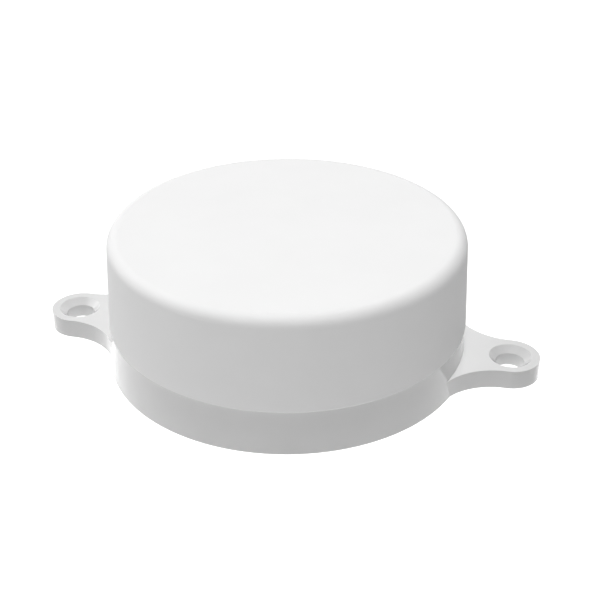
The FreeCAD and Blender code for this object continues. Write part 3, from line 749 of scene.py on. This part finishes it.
def add_piece(mesh, name, material):
    """Turns a built mesh into a piece that rides on the base."""
    bmesh.ops.recalc_face_normals(mesh, faces=mesh.faces)
    data = bpy.data.meshes.new(name)
    mesh.to_mesh(data)
    mesh.free()
    data.materials.append(material)
    piece = bpy.data.objects.new(name, data)
    bpy.context.collection.objects.link(piece)
    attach(piece, "base")


def chip_ends(frame):
    """Each tinned end of a small chip, and the side of the chip that it is on: 1 right, -1 left."""
    nodes = frame["nodes"]
    bodies = islands(nodes["chip_capacitors"]) + islands(nodes["chip_resistors"])
    chips = [middle_of(box) for box in bodies]
    ends = []
    for box in islands(nodes["chip_terminals"]):
        middle = middle_of(box)
        nearest = min(chips, key=lambda chip: (chip - middle).length)
        ends.append((middle, math.copysign(1.0, middle.x - nearest.x)))
    return ends


def board_solder(frame, material):
    """Hollow solder fillets round every lead and tinned end that stands on a board."""
    foot = 0.2 * MM
    waist = 0.07 * MM
    mesh = bmesh.new()
    for name in ("chip_terminals", "regulator_leads", "button_terminals", "antenna_terminals"):
        for low, high in islands(frame["nodes"][name]):
            waist_height = 0.2 * (high.z - low.z)
            top_height = 0.6 * (high.z - low.z)
            add_fillet(mesh, low, high, foot, waist, waist_height, top_height)
    add_piece(mesh, "board_solder", material)


def contact_solder(material):
    """The large soldered pads under the feet of the two battery contacts."""
    foot = 0.35 * MM
    waist = 0.12 * MM
    waist_height = 0.07 * MM
    top_height = 0.22 * MM
    mesh = bmesh.new()
    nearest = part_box("battery_holder")[1].x + 0.3 * MM  # just clear of the holder's end
    for name, side in (("positive_contact", 1), ("negative_contact", -1)):
        low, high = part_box(name)
        near = side * nearest
        far = side * max(abs(low.x), abs(high.x))
        foot_low = Vector((min(near, far), low.y, low.z))
        foot_high = Vector((max(near, far), high.y, high.z))
        add_fillet(mesh, foot_low, foot_high, foot, waist, waist_height, top_height)
    add_piece(mesh, "contact_solder", material)


def board_tracks(frame, material):
    """Short tracks that lead from the small chips and the module's pads to their vias."""
    mesh = bmesh.new()
    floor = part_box("circuit_board")[1].z
    for middle, side in chip_ends(frame):
        start = middle.x + side * TRACK_START
        turn = start + side * TRACK_RUN
        via = (turn + side * TRACK_RUN, middle.y + math.copysign(TRACK_RUN, middle.y))
        add_strip(mesh, [(start, middle.y), (turn, middle.y), via], TRACK_WIDTH, floor, TRACK_RISE)
        add_washer(mesh, *via, floor)
    low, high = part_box("radio_board")
    for side in (1, -1):
        edge = side * high.x
        for index in range(PADS_PER_SIDE):
            y = low.y + PAD_FIRST + PAD_PITCH * index
            reach = SHORT_TRACK if index % 2 else LONG_TRACK
            ends = [(edge - side * TRACK_TUCK, y), (edge + side * reach, y)]
            add_strip(mesh, ends, TRACK_WIDTH, floor, TRACK_RISE)
            add_washer(mesh, edge + side * (reach + VIA_INNER), y, floor)
    add_piece(mesh, "board_tracks", material)


def board_print(frame, material):
    """White printed outlines round the main parts of the board."""
    mesh = bmesh.new()
    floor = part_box("circuit_board")[1].z
    outlined = (
        "radio_board",
        "button_body",
        "capacitor_base",
        "status_led",
        "motion_sensor",
        "voltage_regulator",
    )
    boxes = [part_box(name) for name in outlined] + islands(frame["nodes"]["timing_crystals"])
    for low, high in boxes:
        corners = [Vector(corner[:2]) for corner in rectangle(low, high, PRINT_GAP, 0.0)]
        for start, end in zip(corners, corners[1:] + corners[:1]):
            overlap = (end - start).normalized() * (PRINT_WIDTH / 2)
            add_strip(mesh, [start - overlap, end + overlap], PRINT_WIDTH, floor, PRINT_RISE)
    add_piece(mesh, "board_print", material)


def board_details(frame, materials):
    """What lies on the boards: solder, tracks and print."""
    board_solder(frame, materials["solder_tin"])
    contact_solder(materials["solder_tin"])
    board_tracks(frame, track_mask().material)
    board_print(frame, print_ink().material)


def seen_directly(tree):
    """1 where a ray comes straight from the camera or off a shiny or clear surface, 0 elsewhere."""
    path = tree.nodes.new("ShaderNodeLightPath")
    value = path.outputs["Is Camera Ray"]
    for kind in ("Is Glossy Ray", "Is Transmission Ray"):
        either = tree.nodes.new("ShaderNodeMath")
        either.operation = "MAXIMUM"
        tree.links.new(value, either.inputs[0])
        tree.links.new(path.outputs[kind], either.inputs[1])
        value = either.outputs["Value"]
    return value


def white_floor():
    """A wide floor that looks white except where the object shades it."""
    bpy.ops.mesh.primitive_plane_add(size=FLOOR_SIZE, location=(0, 0, -FLOOR_DROP))
    floor = bpy.context.object
    floor.name = "floor"
    finish = Finish("floor_paper", specular=0.2)
    finish.put("Base Color", FLOOR_COLOUR)
    finish.put("Roughness", 0.9)
    finish.put("Emission Color", WHITE)
    seen = seen_directly(finish.tree)
    glow = finish.scaled(finish.span(finish.x, finish.y), FLOOR_GLOW, 1.0, FLOOR_NEAR, FLOOR_FAR)
    finish.put("Emission Strength", finish.math("MULTIPLY", seen, glow))
    floor.data.materials.append(finish.material)


def direction(azimuth, elevation):
    """The way out from the object: the azimuth turns from the front towards +X."""
    level = math.cos(elevation)
    return Vector((math.sin(azimuth) * level, -math.cos(azimuth) * level, math.sin(elevation)))


def soft_box(name, turn, height, distance, size, power, shadow=False):
    """A square lamp that faces the object, turned so many degrees from the camera and as many high."""
    data = bpy.data.lights.new(name, "AREA")
    data.shape = "SQUARE"
    data.size = size
    data.energy = power
    data.use_shadow = shadow
    lamp = bpy.data.objects.new(name, data)
    bpy.context.collection.objects.link(lamp)
    way = direction(CAMERA_AZIMUTH + math.radians(turn), math.radians(height))
    lamp.location = LAMP_TARGET + way * distance
    lamp.rotation_euler = way.to_track_quat("Z", "Y").to_euler()


def studio():
    """A white surround and five lamps. Only the overhead one casts a shadow."""
    world = bpy.data.worlds.new("studio")
    bpy.context.scene.world = world
    world.use_nodes = True
    tree = world.node_tree
    background = tree.nodes["Background"]
    background.inputs["Color"].default_value = (*WHITE, 1.0)
    strength = tree.nodes.new("ShaderNodeMapRange")
    strength.inputs["To Min"].default_value = AMBIENT
    tree.links.new(seen_directly(tree), strength.inputs["Value"])
    tree.links.new(strength.outputs["Result"], background.inputs["Strength"])
    soft_box("overhead", turn=0, height=90, distance=1.0, size=0.08, power=3.2, shadow=True)
    soft_box("back", turn=180, height=75, distance=1.0, size=0.6, power=5.35)
    soft_box("front", turn=0, height=35, distance=0.3, size=0.2, power=0.208)
    soft_box("left", turn=259, height=35, distance=1.0, size=0.8, power=3.5)
    soft_box("left_low", turn=235, height=12, distance=1.0, size=0.6, power=0.75)


def camera():
    """The camera at the photograph's angle."""
    back = direction(CAMERA_AZIMUTH, CAMERA_ELEVATION)
    right = Vector((math.cos(CAMERA_AZIMUTH), math.sin(CAMERA_AZIMUTH), 0.0))
    up = back.cross(right)
    data = bpy.data.cameras.new("camera")
    data.sensor_width = SENSOR_WIDTH
    data.lens = FOCAL_PIXELS / IMAGE_WIDTH * SENSOR_WIDTH
    data.clip_start = 5 * MM
    data.clip_end = 20.0
    eye = bpy.data.objects.new("camera", data)
    bpy.context.collection.objects.link(eye)
    turn = Matrix((right, up, back)).transposed().to_4x4()
    place = back * CAMERA_BACK + right * CAMERA_RIGHT + up * CAMERA_UP
    eye.matrix_world = Matrix.Translation(place) @ turn
    bpy.context.scene.camera = eye


def main():
    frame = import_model()
    materials = dress(frame)
    board_details(frame, materials)
    white_floor()
    studio()
    camera()
    bpy.context.scene.view_settings.view_transform = "Standard"


main()
